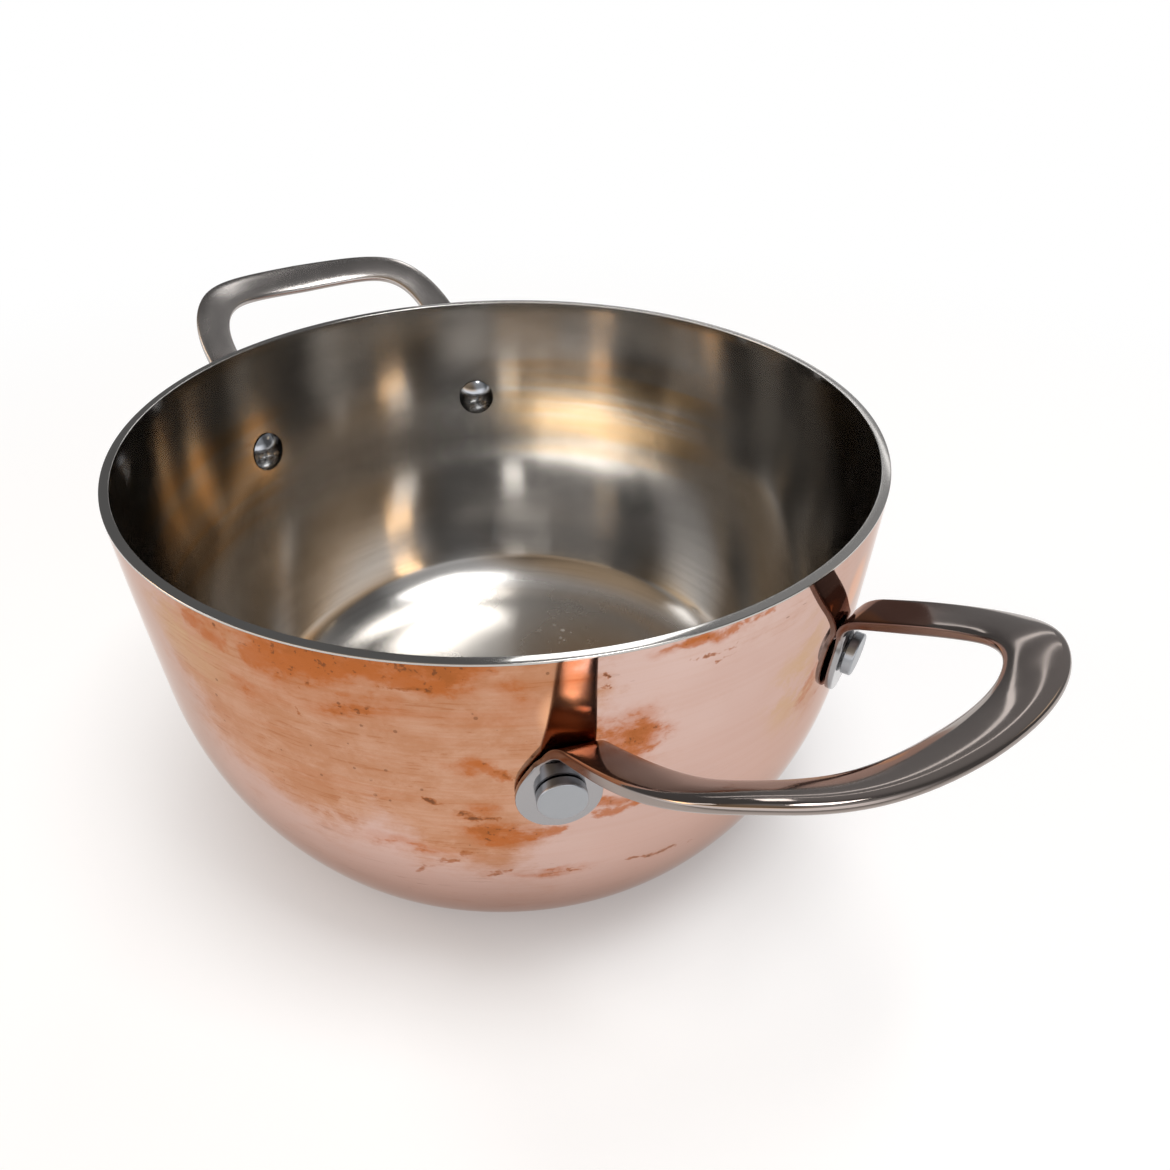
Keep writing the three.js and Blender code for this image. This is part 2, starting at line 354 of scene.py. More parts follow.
def half_handle():
    """Rings of points round the sections of half a handle."""
    point, normal, upward, side = rivet_place(RIVET_ANGLE)
    climb = (upward - side * FOOT_LEAN).normalized()
    stations = handle_stations(point, normal, climb)
    last = len(stations) - 1
    rings = []
    for i, (centre, w, h, left_wall, roll, swell) in enumerate(stations):
        before, after = stations[max(0, i - 1)][0], stations[min(last, i + 1)][0]
        along = (after - before).normalized()
        if i == last:
            along = Vector((0, -1, 0))
        across = side.lerp(UP.cross(along).normalized(), left_wall)
        across = (across - along * across.dot(along)).normalized()
        top = along.cross(across).normalized()
        wide = across * cos(roll) + top * sin(roll)
        thick = top * cos(roll) - across * sin(roll)
        rings.append([centre + wide * x + thick * y for x, y in section(w, h, swell)])
    return rings


def handle(name, turn):
    """A whole handle: a half, its mirror image and the rivet holes, turned about the pot's axis."""
    rings = half_handle()
    rings += [[Vector((p.x, -p.y, p.z)) for p in ring] for ring in rings[-2::-1]]
    n = len(rings[0])
    verts = [p for ring in rings for p in ring]
    faces = []
    for i in range(len(rings) - 1):
        for j in range(n):
            k = (j + 1) % n
            faces.append((i * n + j, i * n + k, (i + 1) * n + k, (i + 1) * n + j))
    end = (len(rings) - 1) * n
    faces.append(tuple(range(n))[::-1])
    faces.append(tuple(range(end, end + n)))
    if turn:
        verts = [Vector((-p.x, -p.y, p.z)) for p in verts]
    obj = mesh_object(name, verts, faces, FINE_CREASE)
    drill(obj, [a + turn for a in (RIVET_ANGLE, -RIVET_ANGLE)], FINE_CREASE)
    return obj


def rivet(name):
    """A dome inside, a shank through the wall, a flat head outside."""
    under = 2 * CLEAR + PLATE_T
    top = under + HEAD_H
    seat = -WALL_T - DOME_CLEAR
    ball = (DOME_R ** 2 + DOME_H ** 2) / (2 * DOME_H)
    reach = asin(DOME_R / ball)
    line = [(0, seat - DOME_H)]
    for i in range(1, DOME_STEPS + 1):
        a = reach * i / DOME_STEPS
        line.append((ball * sin(a), seat - DOME_H + ball * (1 - cos(a))))
    line += [(SHANK_R, seat), (SHANK_R, under)]
    line += [(HEAD_R - HEAD_CHAMFER, under), (HEAD_R, under + HEAD_CHAMFER)]
    line += corner_arc(HEAD_R - HEAD_ROUND, top - HEAD_ROUND, HEAD_ROUND, 0, pi / 2, HEAD_STEPS)
    line += [(HEAD_R * HEAD_RING, top), (0, top)]
    return lathe(name + "_body", line, RIVET_TURNS, rivet_frame(RIVET_ANGLES[name]), FINE_CREASE)


# Pieces of the wall. The lining's rim covers the edges of the other two layers.
under_rim = DEPTH - RIM_BAND
out_r = wall_line(0, DEPTH)[0][0]
in_r = wall_line(WALL_T, DEPTH)[0][0]
rim_edge = [(out_r - RIM_BAND * tan(TILT_RIM), under_rim + BOND)]
rim_edge += corner_arc(out_r - RIM_ROUND, DEPTH - RIM_ROUND, RIM_ROUND, 0, pi / 2)
rim_edge += corner_arc(in_r + RIM_ROUND, DEPTH - RIM_ROUND, RIM_ROUND, pi / 2, pi)
copper_shell = layer("copper_wall", wall_line(0, under_rim), [], wall_line(COPPER_T, under_rim))
core = layer("core_sheet", wall_line(COPPER_T + BOND, under_rim), [],
             wall_line(COPPER_T + BOND + CORE_T, under_rim))
liner = layer("steel_lining", wall_line(COPPER_T + CORE_T + 2 * BOND, under_rim + BOND), rim_edge,
              wall_line(WALL_T, DEPTH - RIM_ROUND)[1:])
for piece in (copper_shell, core, liner):
    drill(piece, RIVET_ANGLES.values())
front = handle("front_loop", 0)
rear = handle("rear_loop", pi)
rivets = {name: rivet(name) for name in RIVET_ANGLES}


class Graph:
    """A node tree written node by node."""

    def __init__(self, tree, coordinates="Object"):
        self.tree = tree
        tree.nodes.clear()
        self.place = self.add("ShaderNodeTexCoord").outputs[coordinates]

    def add(self, kind, **settings):
        node = self.tree.nodes.new(kind)
        for key, value in settings.items():
            setattr(node, key, value)
        return node

    def put(self, socket, value):
        """A link where the value is another node's output, else a constant."""
        if isinstance(value, bpy.types.NodeSocket):
            self.tree.links.new(value, socket)
        else:
            socket.default_value = value

    def math(self, operation, a, b=0.0, c=0.0):
        n = self.add("ShaderNodeMath", operation=operation)
        for socket, value in zip(n.inputs, (a, b, c)):
            self.put(socket, value)
        return n.outputs[0]

    def product(self, first, *others):
        for value in others:
            first = self.math("MULTIPLY", first, value)
        return first

    def most(self, values):
        top = values[0]
        for value in values[1:]:
            top = self.math("MAXIMUM", top, value)
        return top

    def clamp(self, value):
        n = self.add("ShaderNodeClamp")
        self.put(n.inputs["Value"], value)
        return n.outputs[0]

    def vector(self, operation, a, b, output="Vector"):
        n = self.add("ShaderNodeVectorMath", operation=operation)
        self.put(n.inputs[0], a)
        self.put(n.inputs[1], b)
        return n.outputs[output]

    def along(self, direction):
        """How far the place lies in a direction."""
        return self.vector("DOT_PRODUCT", self.place, direction, "Value")

    def axis(self, name):
        n = self.add("ShaderNodeSeparateXYZ")
        self.put(n.inputs[0], self.place)
        return n.outputs[name]

    def noise(self, scale, detail=4.0, rough=0.55, warp=0.0, shift=(0, 0, 0), output="Fac"):
        spread_out = self.add("ShaderNodeMapping")
        self.put(spread_out.inputs["Vector"], self.place)
        spread_out.inputs["Scale"].default_value = scale
        spread_out.inputs["Location"].default_value = shift
        n = self.add("ShaderNodeTexNoise")
        self.put(n.inputs["Vector"], spread_out.outputs[0])
        n.inputs["Scale"].default_value = 1.0
        n.inputs["Detail"].default_value = detail
        n.inputs["Roughness"].default_value = rough
        n.inputs["Distortion"].default_value = warp
        return n.outputs[output]

    def wander(self, scale, reach):
        """Places on the piece pushed about at random, over a range in millimetres, less so in height."""
        push = self.noise(scale, 5, 0.62, output="Color")
        push = self.vector("SUBTRACT", push, (0.5, 0.5, 0.5))
        push = self.vector("MULTIPLY", push, (reach * MM, reach * MM, reach * 0.6 * MM))
        return self.vector("ADD", self.place, push)

    def dots(self, scale, size, share):
        """Scattered round specks: a share of the cells of a grid of points has one."""
        n = self.add("ShaderNodeTexVoronoi")
        self.put(n.inputs["Vector"], self.place)
        n.inputs["Scale"].default_value = scale
        pick = self.add("ShaderNodeSeparateColor")
        self.put(pick.inputs[0], n.outputs["Color"])
        chosen = self.math("LESS_THAN", pick.outputs[0], share)
        wide = self.math("MULTIPLY", pick.outputs[1], size)
        inside = self.math("LESS_THAN", n.outputs["Distance"], wide)
        return self.math("MULTIPLY", chosen, inside)

    def ramp(self, value, low, high, to_low=0.0, to_high=1.0):
        n = self.add("ShaderNodeMapRange", interpolation_type="SMOOTHSTEP")
        self.put(n.inputs["Value"], value)
        for key, v in (("From Min", low), ("From Max", high), ("To Min", to_low), ("To Max", to_high)):
            n.inputs[key].default_value = v
        return n.outputs[0]

    def near(self, place, spot, reach):
        """One at a spot on the piece, falling to nothing at a reach in millimetres."""
        scaled = self.vector("MULTIPLY", place, tuple(1 / (r * MM) for r in reach))
        away = self.vector("DISTANCE", scaled, tuple(s / r for s, r in zip(spot, reach)), "Value")
        return self.ramp(away, 1.0, 0.0)

    def spots(self, place, table):
        """The strongest of some spots: the place, reach and strength of each."""
        return self.most([self.math("MULTIPLY", self.near(place, spot, reach), power)
                          for spot, reach, power in table])

    def stroke(self, place, start, end, width):
        """One on the line between two places, falling to nothing at a width in millimetres."""
        line = (Vector(end) - Vector(start)) * MM
        from_start = self.vector("SUBTRACT", place, Vector(start) * MM)
        share = self.vector("DOT_PRODUCT", from_start, line / line.length_squared, "Value")
        nearest = self.add("ShaderNodeVectorMath", operation="SCALE")
        nearest.inputs[0].default_value = line
        self.put(nearest.inputs["Scale"], self.clamp(share))
        away = self.vector("DISTANCE", from_start, nearest.outputs[0], "Value")
        return self.ramp(away, width * MM, 0.0)

    def strokes(self, place, table):
        """The strongest of some strokes: the ends, width and strength of each."""
        return self.most([self.math("MULTIPLY", self.stroke(place, start, end, width), power)
                          for start, end, width, power in table])

    def mix(self, factor, a, b):
        n = self.add("ShaderNodeMix", data_type="RGBA")
        self.put(n.inputs["Factor"], factor)
        self.put(n.inputs["A"], a)
        self.put(n.inputs["B"], b)
        return n.outputs["Result"]


class Surface(Graph):
    """A material with one shader."""

    def __init__(self, name):
        self.material = bpy.data.materials.new(name)
        self.material.use_nodes = True
        super().__init__(self.material.node_tree)
        self.shader = self.add("ShaderNodeBsdfPrincipled")
        self.put(self.add("ShaderNodeOutputMaterial").inputs["Surface"], self.shader.outputs["BSDF"])

    def set(self, **values):
        """Sets the shader's inputs, named with underscores for spaces."""
        for key, value in values.items():
            self.put(self.shader.inputs[key.replace("_", " ")], value)

    def bump(self, height, strength, depth):
        """Relief of a depth in millimetres."""
        n = self.add("ShaderNodeBump")
        n.inputs["Strength"].default_value = strength
        n.inputs["Distance"].default_value = depth * MM
        self.put(n.inputs["Height"], height)
        self.put(self.shader.inputs["Normal"], n.outputs[0])


def at_each_foot(x, y, z, reach):
    """Rows for the same spot at all four feet of the handles."""
    return tuple(((x * sx, y * sy, z), reach, 1.0) for sx in (-1, 1) for sy in (-1, 1))


# Spots are rows of a place, a reach across and up, both in millimetres, and a strength.
# The tan film over the left of the near side, and at the back.
FILM = (
    ((56, -83, 92), (48, 50, 53), 1.0),
    ((80, -59, 82), (34, 34, 50), 1.0),
    ((86, -50, 92), (26, 26, 44), 1.0),
    ((-60, 75, 80), (60, 60, 50), 0.9),
    ((-70, -70, 90), (44, 44, 40), 0.8),
)
# Yellowed patches beside the film and between the near handle's feet.
SALLOW = (
    ((32, -94.5, 98), (20, 20, 19), 0.85),
    ((97, 19, 80), (12, 17, 26), 0.85),
)
# Where drops have dried on the copper.
STAINS = (
    ((64, -77, 107), (34, 34, 14), 1.0),
    ((78, -62, 106), (22, 22, 11), 1.0),
    ((55, -83, 103), (17, 17, 11), 0.80),
    ((40, -92, 104), (14, 14, 10), 0.60),
    ((66, -75, 95), (26, 26, 9), 0.50),
    ((50, -87, 92), (16, 16, 7), 0.48),
    ((95.5, -28, 84), (18, 15, 15), 1.0),
    ((93.6, -33, 88), (10, 10, 12), 0.75),
    ((84, -52, 59), (17, 17, 7), 0.72),
    ((82, -56, 66), (9, 9, 6), 0.62),
    ((94, -31, 66), (12, 12, 5), 0.75),
    ((82, -57, 81), (10, 10, 5), 0.66),
    ((87, -48, 97), (14, 14, 12), 0.45),
    ((99, -13, 106), (18, 16, 3.5), 0.55),
    ((88, -42, 44), (20, 18, 4), 0.50),
    ((71, -67, 52), (22, 22, 6), 0.50),
    ((95, 27, 72), (9, 13, 18), 0.42),
    ((-92, 40, 103), (22, 24, 10), 0.90),
    ((20, 98, 98), (26, 14, 10), 0.85),
    ((-80, -60, 100), (22, 20, 10), 0.85),
    ((-96, -10, 62), (14, 20, 10), 0.60),
    ((60, 78, 70), (22, 20, 10), 0.55),
)
# Behind the handles' arms: partly tarnish where a cloth does not reach, partly painted light that brightens
# the arms' dark reflection in the copper.
TARNISH_AND_PAINTED_GLOW = at_each_foot(96, 42, 94, (13, 13, 17))
# The handles' feet, which stay clean, and where their arms leave the wall, painted brown: a painted
# reflection of the copper wall in the steel.
FEET = at_each_foot(91, 41, 72, (17, 17, 19))
ROOT_PAINTED_REFLECTION = at_each_foot(100, 41, 91, (26, 17, 17))
# Where the lining is tinted straw: partly heat tint, partly a painted reflection of golden arcs of light.
HEAT_TINT_AND_PAINTED_ARCS = (
    ((-56, 76, 74), (66, 66, 60), 1.0),
    ((-66, -66, 78), (66, 66, 60), 1.0),
)

# Strokes are rows of two ends and a width, in millimetres, and a strength.
# Smears of the stains' tarnish.
SMEARS = (
    ((50, -86.4, 102), (66, -75, 104), 6.0, 1.0),
    ((69, -72.3, 105), (80, -60, 102), 4.0, 1.0),
    ((83, -53.5, 57), (90.2, -40.5, 59), 3.6, 0.9),
    ((93.3, -33, 62), (96.5, -22.2, 63.5), 3.0, 0.8),
    ((82, -56.6, 81.5), (85, -51.7, 78.4), 3.6, 0.9),
    ((36, -93.3, 104), (43, -90.3, 102), 5.0, 0.8),
    ((98.6, -16.5, 105.7), (100, 2.5, 107), 2.6, 0.8),
    ((96.7, 22.6, 70.8), (94.6, 31.1, 83.6), 6.0, 0.5),
    ((-70, -71, 92), (-55, -83, 95), 5.0, 0.9),
    ((10, 99, 84), (32, 93, 88), 5.0, 0.8),
)
# Darker scars and scratches in it.
SCARS = (
    ((59, -80.6, 96.2), (61.4, -78.8, 99.7), 1.8, 1.0),
    ((72, -69.3, 101.5), (79, -61.2, 100.8), 1.5, 0.8),
    ((80.3, -58.1, 65.7), (83.8, -52.9, 64.1), 2.0, 1.0),
    ((75.4, -64.6, 69.8), (78, -61.4, 68.7), 1.6, 0.9),
    ((84.4, -52.6, 79), (86, -50, 77.6), 1.8, 0.8),
    ((89.9, -36.1, 41.5), (92.3, -29.2, 41), 1.9, 0.8),
    ((93.7, -24.4, 41), (96, -6.3, 38.5), 1.7, 0.8),
    ((79.6, -55.6, 42.4), (84.3, -49, 44.6), 1.9, 0.7),
    ((69.8, -67.4, 42), (80, -57.6, 53), 2.2, 0.6),
    ((98.8, -14.9, 101.4), (99.9, -3.1, 101.9), 0.9, 0.8),
    ((99.3, -10, 99.6), (99.8, -5, 100), 0.8, 0.7),
    ((58.1, -81.1, 92), (58.2, -80.9, 88), 1.4, 0.8),
    ((94.1, -33.2, 103), (94.2, -33, 102.5), 1.2, 1.0),
    ((94.4, -32.4, 99.6), (94.5, -32.2, 99.2), 1.2, 1.0),
    ((94.7, -31.4, 96.4), (94.8, -31.2, 96), 1.5, 1.0),
    ((-90, 42, 70), (-96, 24, 66), 1.6, 0.8),
    ((40, 90, 60), (62, 77, 56), 1.7, 0.8),
)


def copper_material():
    """Mirror-bright copper under a thin tarnish: a tan film, spun lines, orange stains and specks."""
    g = Surface("polished_copper")
    rose = (0.615, 0.424, 0.368, 1)
    blush = (0.655, 0.478, 0.428, 1)
    peach = (0.572, 0.314, 0.198, 1)
    bronze = (0.488, 0.222, 0.110, 1)
    straw = (0.600, 0.400, 0.235, 1)
    orange = (0.462, 0.138, 0.038, 1)
    # A bright orange for behind the arms: partly tarnish, partly painted light.
    tarnish_and_glow = (0.950, 0.500, 0.280, 1)
    rust = (0.370, 0.115, 0.032, 1)
    # The next two are painted shade: darker copper low on the bowl and on the left side.
    painted_low_shade = (0.570, 0.362, 0.308, 1)
    painted_side_shade = (0.540, 0.398, 0.355, 1)
    umber = (0.150, 0.058, 0.028, 1)
    grazing = (0.80, 0.70, 0.65, 1)
    cloud = g.noise((16, 16, 24), 3)
    blot = g.noise((80, 80, 120), 6, 0.68, 0.3, (3, 1, 2))
    fleck = g.noise((230, 230, 340), 5, 0.66, 0.2, (1, 7, 4))
    drag = g.noise((22, 22, 230), 6, 0.66, 0.25)
    spun = g.noise((14, 14, 820), 3, 0.6)
    score = g.noise((60, 60, 1150), 4, 0.65, 0.1, (2, 6, 1))
    grain = g.noise((620, 620, 620), 3, 0.6)
    drift = g.noise((10, 10, 32), 4, 0.6, 0.3, (5, 2, 1))
    hair = g.noise((60, 60, 460), 2, 0.5, 2.0, (1, 4, 2))
    moved = g.wander((55, 55, 80), 26)
    nudged = g.wander((150, 150, 210), 9)

    # Painted shade: the bare copper is deeper in colour low on the bowl, and greyer on the left.
    tone = g.mix(g.ramp(cloud, 0.36, 0.64), rose, blush)
    tone = g.mix(g.ramp(g.axis("Z"), 60 * MM, 10 * MM, 0.0, 0.8), tone, painted_low_shade)
    left = g.near(moved, (2, -100, 68), (48, 60, 70))
    tone = g.mix(g.ramp(left, 0.0, 0.8, 0.0, 0.9), tone, painted_side_shade)

    # The film has a torn edge, and thin patches of it lie elsewhere.
    torn = g.math("MULTIPLY_ADD", g.math("ADD", blot, cloud), 0.5, -0.5)
    film = g.ramp(g.math("ADD", g.spots(moved, FILM), torn), 0.02, 0.42)
    haze = g.ramp(g.math("ADD", drift, torn), 0.5, 0.85, 0.0, 0.4)
    film = g.math("MAXIMUM", film, haze)
    filmed = g.mix(g.ramp(blot, 0.36, 0.66), peach, bronze)
    tone = g.mix(g.math("MULTIPLY", film, 0.92), tone, filmed)
    sallow = g.math("MULTIPLY", g.spots(moved, SALLOW), g.ramp(blot, 0.40, 0.56))
    tone = g.mix(sallow, tone, straw)

    # Streaks dragged round the pot and fine spun lines show in the film.
    ringed = g.math("MULTIPLY", g.ramp(spun, 0.44, 0.66), g.math("MULTIPLY_ADD", film, 0.32, 0.05))
    tone = g.mix(ringed, tone, bronze)
    tone = g.mix(g.product(g.ramp(drag, 0.50, 0.66), film, 0.26), tone, orange)
    scored = g.product(g.ramp(score, 0.55, 0.63), g.ramp(blot, 0.47, 0.58), film, 0.42)
    tone = g.mix(scored, tone, rust)

    # Stains: a soft bloom, with broken flakes in it.
    bloom = g.spots(moved, STAINS)
    broken = g.math("MULTIPLY_ADD", blot, 0.9, -1.85)
    broken = g.math("MULTIPLY_ADD", drag, 1.3, broken)
    broken = g.math("MULTIPLY_ADD", fleck, 1.5, broken)
    flaked = g.math("MULTIPLY_ADD", broken, g.ramp(bloom, 0.02, 0.45), bloom)
    tone = g.mix(g.ramp(bloom, 0.05, 0.80, 0.0, 0.70), tone, orange)
    tone = g.mix(g.ramp(flaked, 0.38, 0.80, 0.0, 0.75), tone, orange)
    tone = g.mix(g.ramp(flaked, 0.60, 1.10, 0.0, 0.80), tone, rust)

    # Smears and scars, frayed at their edges, and behind the arms a painted glow, partly tarnish and partly
    # painted light.
    fray = g.math("SUBTRACT", fleck, 0.5)
    smears = g.strokes(nudged, SMEARS)
    smears = g.math("MULTIPLY_ADD", fray, g.ramp(smears, 0.0, 0.4, 0.0, 1.6), smears)
    tone = g.mix(g.ramp(smears, 0.20, 0.80, 0.0, 0.80), tone, orange)
    scars = g.strokes(nudged, SCARS)
    scars = g.math("MULTIPLY_ADD", fray, g.ramp(scars, 0.0, 0.3, 0.0, 2.2), scars)
    tone = g.mix(g.ramp(scars, 0.35, 0.70, 0.0, 0.72), tone, rust)
    tone = g.mix(g.ramp(scars, 0.70, 1.00, 0.0, 0.80), tone, umber)
    tone = g.mix(g.ramp(g.spots(g.place, TARNISH_AND_PAINTED_GLOW), 0.30, 0.62, 0.0, 0.80), tone, tarnish_and_glow)

    # Dark specks, granules and short scratches.
    peppered = g.ramp(g.math("MAXIMUM", bloom, g.math("MULTIPLY", film, 0.4)), 0.12, 0.55)
    specks = g.product(g.dots(400, 0.20, 0.34), peppered, g.ramp(blot, 0.45, 0.53))
    grit = g.math("MULTIPLY", g.ramp(grain, 0.58, 0.66), g.ramp(flaked, 0.45, 0.85))
    tone = g.mix(g.math("MULTIPLY", g.math("MAXIMUM", specks, grit), 0.72), tone, umber)
    hairs = g.math("MULTIPLY", g.ramp(hair, 0.70, 0.725, 0.0, 0.45), g.ramp(cloud, 0.45, 0.6))
    tone = g.mix(hairs, tone, umber)

    g.set(Base_Color=tone, Metallic=1.0, Specular_Tint=grazing)
    dull = g.math("MAXIMUM", g.math("MULTIPLY", film, 0.5), g.ramp(flaked, 0.2, 0.9))
    g.set(Roughness=g.ramp(g.math("MULTIPLY_ADD", grain, 0.12, dull), 0.0, 1.1, 0.045, 0.18))
    crust = g.math("MULTIPLY", grain, g.ramp(flaked, 0.3, 0.8))
    g.bump(g.math("MULTIPLY_ADD", spun, 0.6, crust), 0.05, 0.03)
    return g.material


def lining_material():
    """Steel spun and brushed round the pot: mirrored lights smear up and down the wall."""
    g = Surface("brushed_lining")
    grey = (0.545, 0.526, 0.500, 1)
    pale = (0.595, 0.576, 0.550, 1)
    brushed = (0.40, 0.378, 0.350, 1)
    straw = (0.60, 0.43, 0.25, 1)
    bright = (0.86, 0.85, 0.83, 1)
    brush = g.noise((16, 16, 900), 2, 0.6)
    ripple = g.noise((3, 3, 90), 2, 0.5)
    smear = g.noise((20, 20, 34), 4, 0.6, 0.4)
    arcs = g.noise((5, 5, 210), 4, 0.6, 0.3)
    # arcs: fine rings that paint the golden reflected arcs on the wall
    height = g.axis("Z")
    tint = g.mix(g.ramp(smear, 0.3, 0.7), grey, pale)
    tint = g.mix(g.ramp(brush, 0.42, 0.70, 0.0, 0.20), tint, brushed)

    # A straw-coloured band in two places, broken into fine arcs: partly heat tint, partly painted reflections
    # of golden arcs of light.
    band = g.math("MULTIPLY", g.ramp(height, 49 * MM, 57 * MM), g.ramp(height, 94 * MM, 84 * MM))
    heat_and_painted_arcs = g.ramp(g.spots(g.place, HEAT_TINT_AND_PAINTED_ARCS), 0.05, 0.55)
    tint = g.mix(g.product(band, heat_and_painted_arcs, g.ramp(arcs, 0.38, 0.60, 0.4, 1.0)), tint, straw)

    # Pale flecks in one place on the floor of the pot, which is duller than the wall.
    flecks = g.math("MULTIPLY", g.near(g.place, (-27, 39, 2.4), (17, 12, 9)), g.dots(400, 0.40, 0.60))
    g.set(Base_Color=g.mix(g.math("MULTIPLY", flecks, 0.8), tint, bright), Metallic=1.0)
    wall = g.ramp(smear, 0.3, 0.7, 0.10, 0.14)
    low_down = g.ramp(height, 12 * MM, 4 * MM, 0.0, 0.15)
    g.set(Roughness=g.math("MULTIPLY_ADD", flecks, 0.2, g.math("ADD", wall, low_down)))
    around = g.add("ShaderNodeTangent", direction_type="RADIAL", axis="Z")
    g.set(Anisotropic=0.8, Anisotropic_Rotation=0.25, Tangent=around.outputs[0])
    g.bump(g.math("MULTIPLY", ripple, 1.2), 0.12, 0.05)
    return g.material


def handle_material():
    """Polished steel: brown at the arms' roots, a painted reflection of the copper wall; paler and duller on
    the rear handle, duller from wear and paler as painted light.
    """
    g = Surface("polished_steel")
    dark = (0.290, 0.246, 0.222, 1)
    light = (0.345, 0.298, 0.272, 1)
    rubbed_and_lit = (0.450, 0.425, 0.405, 1)
    clean = (0.370, 0.368, 0.378, 1)
    brown = (0.185, 0.118, 0.098, 1)
    smear = g.noise((60, 60, 60), 4)
    scratch = g.noise((420, 90, 420), 4, 0.6, 0.5)
    # The rear handle: duller from wear, and paler as painted light.
    wear_and_painted_light = g.ramp(g.axis("X"), 20 * MM, -40 * MM)
    tint = g.mix(smear, dark, light)
    tint = g.mix(g.math("MULTIPLY", wear_and_painted_light, 0.85), tint, rubbed_and_lit)
    tint = g.mix(g.ramp(g.spots(g.place, FEET), 0.0, 0.35, 0.0, 0.9), tint, clean)
    # Painted reflection: brown where the arms leave the copper wall.
    tint = g.mix(g.ramp(g.spots(g.place, ROOT_PAINTED_REFLECTION), 0.0, 0.7, 0.0, 0.8), tint, brown)
    g.set(Base_Color=tint, Metallic=1.0)
    g.set(Roughness=g.math("MULTIPLY_ADD", wear_and_painted_light, 0.16, g.ramp(smear, 0.3, 0.7, 0.06, 0.12)))
    g.bump(scratch, 0.025, 0.02)
    return g.material


def rivet_material():
    """Satin heads outside, polished domes inside the pot."""
    g = Surface("satin_steel")
    dark = (0.352, 0.367, 0.388, 1)
    light = (0.392, 0.407, 0.428, 1)
    polished = 0.14
    grain = g.noise((700, 700, 700), 3)
    smear = g.noise((160, 160, 160), 3)
    level = g.vector("MULTIPLY", g.place, (1, 1, 0))
    out_from_axis = g.vector("LENGTH", level, (0, 0, 0), "Value")
    outside = g.ramp(out_from_axis, 96 * MM, 99 * MM)
    g.set(Base_Color=g.mix(smear, dark, light), Metallic=1.0)
    satin_more = g.ramp(smear, 0.3, 0.7, 0.14, 0.20)
    g.set(Roughness=g.math("MULTIPLY_ADD", outside, satin_more, polished))
    g.bump(grain, 0.03, 0.01)
    return g.material


def core_material():
    """Dull aluminium, hidden between the other layers."""
    g = Surface("rolled_aluminium")
    dark = (0.74, 0.75, 0.76, 1)
    light = (0.82, 0.83, 0.84, 1)
    grain = g.noise((120, 120, 800), 4)
    g.set(Base_Color=g.mix(grain, dark, light), Metallic=1.0)
    g.set(Roughness=g.ramp(grain, 0.3, 0.7, 0.38, 0.5))
    return g.material


def dress(obj, material, node):
    obj.data.materials.clear()
    obj.data.materials.append(material)
    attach(obj, "root")
    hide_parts(node)


steel = handle_material()
satin = rivet_material()
dress(copper_shell, copper_material(), "copper_shell")
dress(core, core_material(), "aluminium_core")
dress(liner, lining_material(), "steel_liner")
dress(front, steel, "front_handle")
dress(rear, steel, "rear_handle")
for name, obj in rivets.items():
    dress(obj, satin, name)

# Camera: fitted to the rim, the outline, the rivets and both handles of the photograph.
PHOTO = 1170
FOCAL_PX = 894.38
CENTRE_PX = (555.17, 669.21)
SENSOR = 36
CLIP_START = 0.01
EYE = Vector((195.68, -110.08, 211.65)) * MM
RIGHT = Vector((0.5471, 0.83706, -0.00342))
DOWN = Vector((0.53864, -0.35517, -0.76401))
AHEAD = Vector((-0.64074, 0.41615, -0.64519))
cam_data = bpy.data.cameras.new("camera")
cam_data.sensor_width = SENSOR
cam_data.lens = SENSOR * FOCAL_PX / PHOTO
cam_data.shift_x = (PHOTO / 2 - CENTRE_PX[0]) / PHOTO
cam_data.shift_y = (CENTRE_PX[1] - PHOTO / 2) / PHOTO
cam_data.clip_start = CLIP_START
cam = bpy.data.objects.new("camera", cam_data)
bpy.context.scene.collection.objects.link(cam)
turn = Matrix((RIGHT, -DOWN, -AHEAD)).transposed().to_4x4()
cam.matrix_world = Matrix.Translation(EYE) @ turn
bpy.context.scene.camera = cam

# Floor, in metres. BEHIND is a span along the line of sight, and the last two spans go out from the pot.
FLOOR_HALF = 6.0
FLOOR_DROP = 0.0004
FLOOR_GREY = (0.52, 0.52, 0.52, 1)
FLOOR_GLOW = 0.57
FRONT_GLOW = 0.16
PAINTED_SHADOW_GLOW = 0.25
VIEW_LINE = Vector((AHEAD.x, AHEAD.y, 0)).normalized()
BEHIND = (-0.52, -0.225)
PAINTED_SHADOW_SPAN = (0.055, 0.13)
TO_WHITE = (0.20, 0.6)


